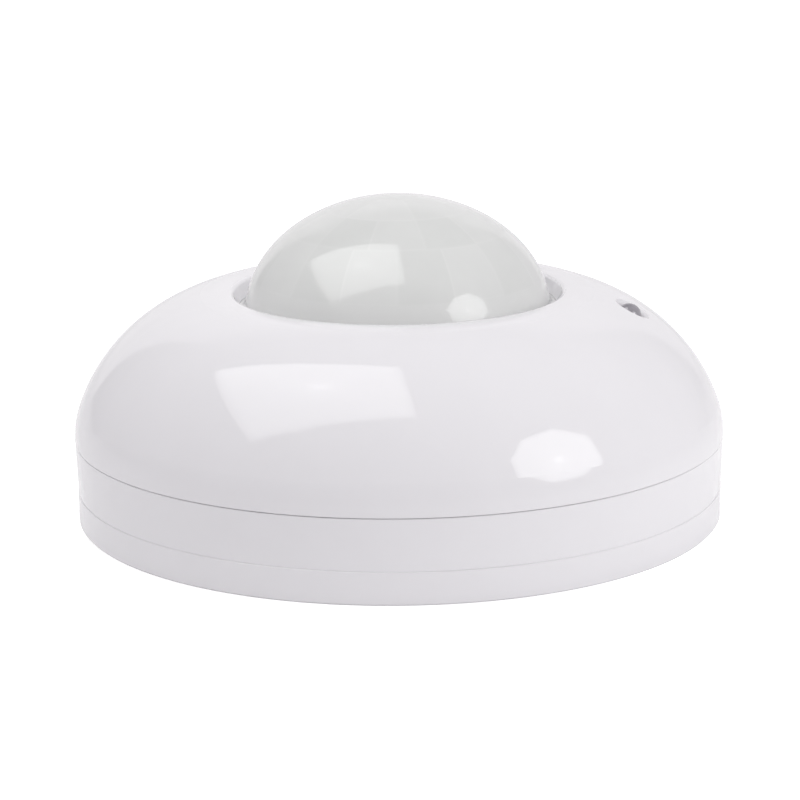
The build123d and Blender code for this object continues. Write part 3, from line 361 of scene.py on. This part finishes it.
def simple_finishes():
    plastic("grommet_rubber", (0.035, 0.035, 0.037), 0.72, 0.16 * MM, 0.012 * MM, mottle=0.15)
    plastic("retainer_black", (0.030, 0.030, 0.032), 0.48, 0.14 * MM, 0.006 * MM, mottle=0.08)
    plastic("sensor_ceramic", (0.62, 0.26, 0.10), 0.4, 0.15 * MM, 0.006 * MM, mottle=0.08)
    plastic("relay_blue", (0.03, 0.13, 0.42), 0.38, 0.15 * MM, 0.005 * MM, mottle=0.05)
    plastic("film_yellow", (0.75, 0.55, 0.06), 0.35, 0.2 * MM, 0.006 * MM, mottle=0.05)
    plastic("can_sleeve", (0.025, 0.025, 0.035), 0.22, 0.4 * MM, 0.004 * MM, mottle=0.1)
    plastic("varistor_blue", (0.04, 0.12, 0.32), 0.42, 0.6 * MM, 0.02 * MM, mottle=0.08)
    plastic("resistor_body", (0.30, 0.44, 0.32), 0.35, 0.3 * MM, 0.01 * MM, mottle=0.08)
    plastic("component_black", (0.022, 0.022, 0.024), 0.5, 0.1 * MM, 0.004 * MM, mottle=0.1)
    plastic("terminal_grey", (0.20, 0.22, 0.23), 0.42, 0.16 * MM, 0.006 * MM, mottle=0.05)
    plastic("knob_grey", (0.66, 0.66, 0.67), 0.36, 0.15 * MM, 0.005 * MM, mottle=0.03)
    plastic("trimmer_blue", (0.05, 0.20, 0.48), 0.4, 0.15 * MM, 0.005 * MM, mottle=0.06)
    _, shader = plastic("led_red", (0.55, 0.02, 0.02), 0.1, 0.3 * MM, 0.001 * MM)
    shader.inputs["Transmission Weight"].default_value = 0.5
    metal("screw_zinc", (0.72, 0.73, 0.75), 0.26, 0.12 * MM, 0.003 * MM)
    metal("can_nickel", (0.74, 0.72, 0.68), 0.2, 0.1 * MM, 0.002 * MM, (1, 1, 8))
    metal("lead_tin", (0.76, 0.76, 0.76), 0.3, 0.1 * MM, 0.003 * MM)
    metal("terminal_brass", (0.80, 0.62, 0.30), 0.28, 0.12 * MM, 0.003 * MM, (1, 1, 5))
    metal("terminal_steel", (0.62, 0.62, 0.64), 0.3, 0.12 * MM, 0.003 * MM)


def build_materials():
    cover_white()
    housing_white()
    lens_milky()
    guide_smoke()
    pir_filter()
    board_green()
    simple_finishes()


def dress_cad_nodes():
    """Each CAD node gets the finish of its slot in the record."""
    for node, slot in SLOTS.items():
        mesh = NODES[node].data
        mesh.materials.clear()
        mesh.materials.append(MATERIALS[slot])


def drop_empty_faces():
    """A rounded CAD part whose mesh holds faces of no area is shown by a copy without them."""
    for node, slot in SLOTS.items():
        part = NODES[node]
        empty = [face.index for face in part.data.polygons if face.area == 0]
        if not empty or node == "lens_dome":
            continue
        mesh = part.data.copy()
        shape = bmesh.new()
        shape.from_mesh(mesh)
        shape.faces.ensure_lookup_table()
        bmesh.ops.delete(shape, geom=[shape.faces[index] for index in empty], context="FACES")
        shape.to_mesh(mesh)
        shape.free()
        piece = placed(bpy.data.objects.new(f"{node}_clean", mesh))
        piece.matrix_world = part.matrix_world.copy()
        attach(piece, part["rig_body"])
        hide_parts(node)


# ---------------------------------------------------------------- lens dome

def lens_cells(rise, around):
    """Distance from each dome point to its segment's edge and centre, and the segment's tone.

    rise is the angle above the dome's widest level, around the azimuth, both in radians.
    The skirt below the tiers has no edges or centres; its tone is painted light, lighter toward
    its foot, to lift the shade that falls in the recess round the foot.
    """
    radius = LENS_RADIUS * np.cos(rise)
    height = LENS_RISE * np.sin(rise)
    edge = np.full(rise.shape, NO_EDGE)
    centre = np.zeros(rise.shape)
    skirt_top = math.radians(LENS_TIERS[0][0])
    # Painted light on the skirt: lighter toward the foot, lifting the shade in the recess.
    tone = SKIRT_PAINTED_LIGHT_AT_FOOT + (SKIRT_PAINTED_LIGHT_AT_TOP - SKIRT_PAINTED_LIGHT_AT_FOOT) * rise / skirt_top
    for low, high, count, turn, shade_of_tier in LENS_TIERS:
        low, high, turn = (math.radians(value) for value in (low, high, turn))
        inside = (rise >= low) & (rise < high)
        step = 2 * math.pi / count
        place = (around - turn) / step
        cell_centre = (np.floor(place) + 0.5) * step + turn
        middle = (low + high) / 2
        level = LENS_RISE * math.sin(middle)
        reach = LENS_RADIUS * math.cos(middle)
        away = np.sqrt((radius * np.cos(around) - reach * np.cos(cell_centre)) ** 2
                       + (radius * np.sin(around) - reach * np.sin(cell_centre)) ** 2
                       + (height - level) ** 2)
        side = np.abs(place - np.round(place)) * step * radius
        ends = np.minimum(rise - low, high - rise) * LENS_RISE
        centre = np.where(inside, away, centre)
        edge = np.where(inside, np.minimum(side, ends), edge)
        odd = np.floor(place) % 2 * 2 - 1
        tone = np.where(inside, shade_of_tier + CELL_TONE_STEP * odd, tone)
    return edge, centre, tone


def lens_rows():
    """Outline of the lens from the outer apex round to the inner apex, as rows of rings.

    Each row is (radius, height, rise angle, whether it is on the inner dome).
    """
    rows = []
    foot = math.asin((LENS_FOOT_TOP - LENS_LEVEL) / LENS_RISE)
    for step in range(1, CROWN_ROWS + 1):
        rise = math.pi / 2 + (foot - math.pi / 2) * step / CROWN_ROWS
        rows.append((LENS_RADIUS * math.cos(rise), LENS_LEVEL + LENS_RISE * math.sin(rise),
                     rise, False))
    foot_radius = LENS_RADIUS * math.cos(foot)
    fillet = LENS_FOOT_TOP - LENS_SHELF
    for step in range(1, FILLET_ROWS + 1):
        angle = math.pi / 2 * step / FILLET_ROWS
        rows.append((foot_radius + fillet * (1 - math.cos(angle)),
                     LENS_FOOT_TOP - fillet * math.sin(angle), 0, False))
    inner_radius = LENS_RADIUS - LENS_WALL
    for radius, height in (
            (LENS_SHELF_RADIUS, LENS_SHELF),
            (LENS_SHELF_RADIUS, LENS_FLANGE_HIGH),
            (LENS_FLANGE_RADIUS, LENS_FLANGE_HIGH),
            (LENS_FLANGE_RADIUS, LENS_FLANGE_LOW),
            (inner_radius, LENS_FLANGE_LOW)):
        rows.append((radius, height, 0, False))
    for step in range(CROWN_ROWS):
        rise = math.pi / 2 * step / CROWN_ROWS
        rows.append((inner_radius * math.cos(rise),
                     LENS_LEVEL + (LENS_RISE - LENS_WALL) * math.sin(rise), rise, True))
    return rows


def lens_dome():
    """The dome as one closed wall: smooth outside, Fresnel segments and grooves inside."""
    rows = lens_rows()
    around = np.arange(LENS_STEPS) * 2 * math.pi / LENS_STEPS
    rise = np.array([row[2] for row in rows])[:, None] + 0 * around
    azimuth = around + 0 * rise
    edge, centre, tone = lens_cells(rise, azimuth)
    is_inner = np.array([row[3] for row in rows])[:, None]
    rib = np.clip(1 - edge / RIB_HALF_WIDTH, 0, 1)
    groove = np.where(edge < NO_EDGE, centre / GROOVE_PITCH % 1.0, 0.0)
    relief = np.where(is_inner, RIB_HEIGHT * rib + GROOVE_DEPTH * groove * (1 - rib), 0.0)
    radius = np.array([row[0] for row in rows])[:, None] - relief * np.cos(rise)
    height = np.array([row[1] for row in rows])[:, None] - relief * np.sin(rise)
    points = np.stack([radius * np.cos(azimuth), radius * np.sin(azimuth), height], -1)
    tone = np.clip(tone + RIB_TONE * rib, 0, 1)
    apex = [(0, 0, LENS_LEVEL + LENS_RISE), (0, 0, LENS_LEVEL + LENS_RISE - LENS_WALL)]
    lens = closed_lathe("lens_dome_milky", points, apex)
    values = np.concatenate([tone.ravel(), [tone[0].mean(), tone[-1].mean()]])
    attribute = lens.data.attributes.new("tone", "FLOAT", "POINT")
    attribute.data.foreach_set("value", values.astype(np.float32))
    lens.data.materials.append(MATERIALS["lens_milky"])
    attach(lens, NODES["lens_dome"]["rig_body"])
    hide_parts("lens_dome")


def closed_lathe(name, points, poles):
    """A smooth closed mesh from rings of points, capped at a first and a last pole."""
    rows, steps, _ = points.shape
    index = np.arange(rows * steps).reshape(rows, steps)
    after = np.roll(index, -1, 1)
    quads = np.stack([index[:-1], index[1:], after[1:], after[:-1]], -1).reshape(-1, 4)
    first, last = rows * steps, rows * steps + 1
    faces = quads.tolist()
    faces += [(first, int(a), int(b)) for a, b in zip(index[0], after[0])]
    faces += [(last, int(b), int(a)) for a, b in zip(index[-1], after[-1])]
    mesh = bpy.data.meshes.new(name)
    mesh.from_pydata(points.reshape(-1, 3).tolist() + poles, [], faces)
    mesh.shade_smooth()
    mesh.set_sharp_from_angle(angle=SHARP_FROM)
    return placed(bpy.data.objects.new(name, mesh))


# ---------------------------------------------------------------- room, light, camera

def placed(obj):
    bpy.context.scene.collection.objects.link(obj)
    return obj


def make_floor():
    """A plain white sheet, brighter to the eye and in mirrorings than in the light it gives.

    From below it is out of sight.
    """
    material, shader = new_material("floor")
    tree = material.node_tree
    mottle = spread(tree, noise(tree, FLOOR_MOTTLE_SIZE), 0.0, 1.0)
    colours = blend(tree, mottle, FLOOR_DARK, FLOOR_LIGHT)
    tree.links.new(colours, shader.inputs["Base Color"])
    shader.inputs["Roughness"].default_value = 0.9
    shader.inputs["Emission Color"].default_value = (1, 1, 1, 1)
    rays = tree.nodes.new("ShaderNodeLightPath")
    seen = scaled(tree, rays.outputs["Is Camera Ray"], FLOOR_GLOW)
    mirrored = scaled(tree, rays.outputs["Is Glossy Ray"], FLOOR_GLINT)
    glow = tree.nodes.new("ShaderNodeMath")
    glow.operation = "ADD"
    tree.links.new(seen, glow.inputs[0])
    tree.links.new(mirrored, glow.inputs[1])
    tree.links.new(glow.outputs["Value"], shader.inputs["Emission Strength"])
    from_below = tree.nodes.new("ShaderNodeNewGeometry").outputs["Backfacing"]
    mix_with_clear(tree, shader, from_below)
    corners = []
    for radius in (FLOOR_HOLE_RADIUS, FLOOR_RADIUS):
        for k in range(FLOOR_STEPS):
            angle = 2 * math.pi * k / FLOOR_STEPS
            corners.append((radius * math.cos(angle), radius * math.sin(angle), 0))
    faces = []
    for k in range(FLOOR_STEPS):
        after = (k + 1) % FLOOR_STEPS
        faces.append((k, FLOOR_STEPS + k, FLOOR_STEPS + after, after))
    mesh = bpy.data.meshes.new("floor")
    mesh.from_pydata(corners, [], faces)
    mesh.materials.append(material)
    placed(bpy.data.objects.new("floor", mesh))


def softbox(name, centre, normal, across, size, corners, strength):
    """A flat glowing panel, size (width, height): a rectangle, or a polygon of more corners.

    It is brightest at its lamp, in the middle, and fades at its rim. Mirrored in a glossy
    surface it shows GLINT times as bright as it lights.
    """
    material = bpy.data.materials.new(name)
    material.use_nodes = True
    tree = material.node_tree
    tree.nodes.clear()
    output = tree.nodes.new("ShaderNodeOutputMaterial")
    emission = tree.nodes.new("ShaderNodeEmission")
    brightness = tree.nodes.new("ShaderNodeAttribute")
    brightness.attribute_name = "glow"
    mirrored = tree.nodes.new("ShaderNodeLightPath").outputs["Is Glossy Ray"]
    gain = tree.nodes.new("ShaderNodeMapRange")
    gain.inputs["To Min"].default_value = strength
    gain.inputs["To Max"].default_value = strength * GLINT
    tree.links.new(mirrored, gain.inputs["Value"])
    tree.links.new(product(tree, brightness.outputs["Fac"], gain.outputs["Result"]),
                   emission.inputs["Strength"])
    tree.links.new(emission.outputs["Emission"], output.inputs["Surface"])
    normal = Vector(normal).normalized()
    across = Vector(across)
    across = (across - across.dot(normal) * normal).normalized()
    along = normal.cross(across)
    reach = 1 / math.cos(math.pi / corners)
    width, height = size
    points = []
    for share, _ in PANEL_RINGS:
        for k in range(corners):
            angle = 2 * math.pi * (k + 0.5) / corners
            points.append(Vector(centre)
                          + across * (share * width / 2 * reach * math.cos(angle))
                          + along * (share * height / 2 * reach * math.sin(angle)))
    faces = [list(range(corners))]
    for ring in range(len(PANEL_RINGS) - 1):
        for k in range(corners):
            after = (k + 1) % corners
            inner, outer = ring * corners, (ring + 1) * corners
            faces.append([inner + k, outer + k, outer + after, inner + after])
    mesh = bpy.data.meshes.new(name)
    mesh.from_pydata(points, [], faces)
    mesh.materials.append(material)
    glow = mesh.attributes.new("glow", "FLOAT", "POINT")
    glow.data.foreach_set("value", [level for _, level in PANEL_RINGS for _ in range(corners)])
    panel = placed(bpy.data.objects.new(name, mesh))
    panel.visible_camera = False
    panel.visible_shadow = False


def ramp(tree, value, start, end):
    """0 where a value is at or below start, 1 at or above end, smooth between."""
    node = tree.nodes.new("ShaderNodeMapRange")
    node.interpolation_type = "SMOOTHSTEP"
    node.inputs["From Min"].default_value = start
    node.inputs["From Max"].default_value = end
    tree.links.new(value, node.inputs["Value"])
    return node.outputs["Result"]


def facing(tree, direction, axis):
    """How far a world direction points along an axis, -1 to 1."""
    node = tree.nodes.new("ShaderNodeVectorMath")
    node.operation = "DOT_PRODUCT"
    node.inputs[1].default_value = axis
    tree.links.new(direction, node.inputs[0])
    return node.outputs["Value"]


def product(tree, a, b):
    node = tree.nodes.new("ShaderNodeMath")
    node.operation = "MULTIPLY"
    tree.links.new(a, node.inputs[0])
    tree.links.new(b, node.inputs[1])
    return node.outputs["Value"]


def make_world():
    """A dim room, lighter on the right, with a white backdrop standing behind the object."""
    world = bpy.data.worlds.new("studio")
    bpy.context.scene.world = world
    world.use_nodes = True
    tree = world.node_tree
    tree.nodes.clear()
    output = tree.nodes.new("ShaderNodeOutputWorld")
    background = tree.nodes.new("ShaderNodeBackground")
    direction = tree.nodes.new("ShaderNodeTexCoord").outputs["Generated"]
    rightward = ramp(tree, facing(tree, direction, (1, 0, 0)), 0, 1)
    room = blend(tree, rightward, ROOM_LEFT, ROOM_RIGHT)
    left_edge = ramp(tree, facing(tree, direction, BACKDROP_LEFT_NORMAL), *BACKDROP_LEFT_EDGE)
    right_edge = ramp(tree, facing(tree, direction, BACKDROP_RIGHT_NORMAL), *BACKDROP_RIGHT_EDGE)
    top_edge = ramp(tree, facing(tree, direction, BACKDROP_TOP_NORMAL), *BACKDROP_TOP_EDGE)
    sheet = product(tree, product(tree, left_edge, right_edge), top_edge)
    mix = tree.nodes.new("ShaderNodeMix")
    mix.data_type = "RGBA"
    tree.links.new(sheet, mix.inputs["Factor"])
    tree.links.new(room, mix.inputs["A"])
    mix.inputs["B"].default_value = (*BACKDROP_WHITE, 1)
    tree.links.new(mix.outputs["Result"], background.inputs["Color"])
    tree.links.new(background.outputs["Background"], output.inputs["Surface"])


def make_camera():
    data = bpy.data.cameras.new("camera")
    data.lens = CAMERA_LENS
    data.sensor_width = 36.0
    data.shift_x = CAMERA_SHIFT[0]
    data.shift_y = CAMERA_SHIFT[1]
    camera = placed(bpy.data.objects.new("camera", data))
    aim = (Vector(CAMERA_TARGET) - Vector(CAMERA_PLACE)).to_track_quat("-Z", "Y").to_matrix()
    turned = aim @ Matrix.Rotation(math.radians(CAMERA_ROLL), 3, "Z")
    camera.matrix_world = Matrix.Translation(CAMERA_PLACE) @ turned.to_4x4()
    bpy.context.scene.camera = camera


build_materials()
dress_cad_nodes()
drop_empty_faces()
lens_dome()
make_floor()
softbox("softbox_left", SOFTBOX_LEFT_CENTRE, SOFTBOX_LEFT_NORMAL, SOFTBOX_LEFT_ACROSS,
        SOFTBOX_LEFT_SIZE, 4, SOFTBOX_LEFT_STRENGTH)
softbox("softbox_right", SOFTBOX_RIGHT_CENTRE, SOFTBOX_RIGHT_NORMAL, SOFTBOX_RIGHT_ACROSS,
        SOFTBOX_RIGHT_SIZE, 8, SOFTBOX_RIGHT_STRENGTH)
make_world()
make_camera()
bpy.context.scene.view_settings.view_transform = "Standard"
